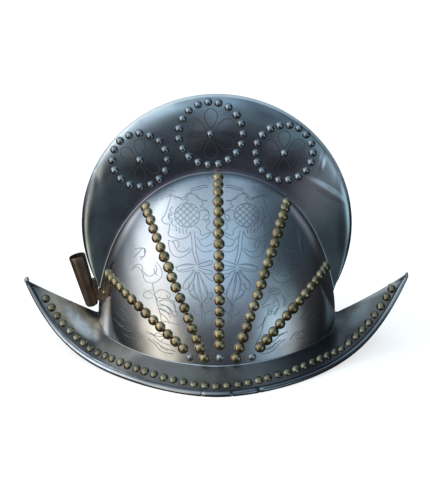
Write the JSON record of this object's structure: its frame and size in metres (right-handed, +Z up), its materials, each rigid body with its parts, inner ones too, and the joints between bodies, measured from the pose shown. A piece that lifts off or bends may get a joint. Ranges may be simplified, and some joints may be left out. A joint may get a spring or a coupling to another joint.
{
  "type": "morion helmet",
  "caption": "Steel morion helmet with a tall round comb, a boat-shaped brim with a rolled edge, fanned rows of domed brass studs and a plume tube at the back.",
  "frame": {"origin": "on the surface that the brim rests on, under the middle of the helmet's overall box", "axes": "+X towards the front peak, +Y to the wearer's left, +Z up to the comb"},
  "size_m": [0.3501, 0.2338, 0.2351],
  "materials": {
    "steel": "polished steel sheet with fine scratches and engraved lines",
    "stud_brass": "dull aged brass",
    "rivet_steel": "polished steel",
    "plume_bronze": "dark brown patina"
  },
  "bodies": {
    "root": {"brim": "steel", "plume_holder": "plume_bronze", "skull_right": "steel", "brim_studs_right": "stud_brass", "plume_rivet_right": "stud_brass", "stud_row_right_1": "stud_brass", "stud_row_right_2": "stud_brass", "stud_row_right_3": "stud_brass", "stud_row_right_4": "stud_brass", "stud_row_right_5": "stud_brass", "base_rivet_right_1": "rivet_steel", "base_rivet_right_2": "rivet_steel", "base_rivet_right_3": "rivet_steel", "skull_left": "steel", "brim_studs_left": "stud_brass", "plume_rivet_left": "stud_brass", "stud_row_left_1": "stud_brass", "stud_row_left_2": "stud_brass", "stud_row_left_3": "stud_brass", "stud_row_left_4": "stud_brass", "stud_row_left_5": "stud_brass", "base_rivet_left_1": "rivet_steel", "base_rivet_left_2": "rivet_steel", "base_rivet_left_3": "rivet_steel"}
  },
  "joints": []
}
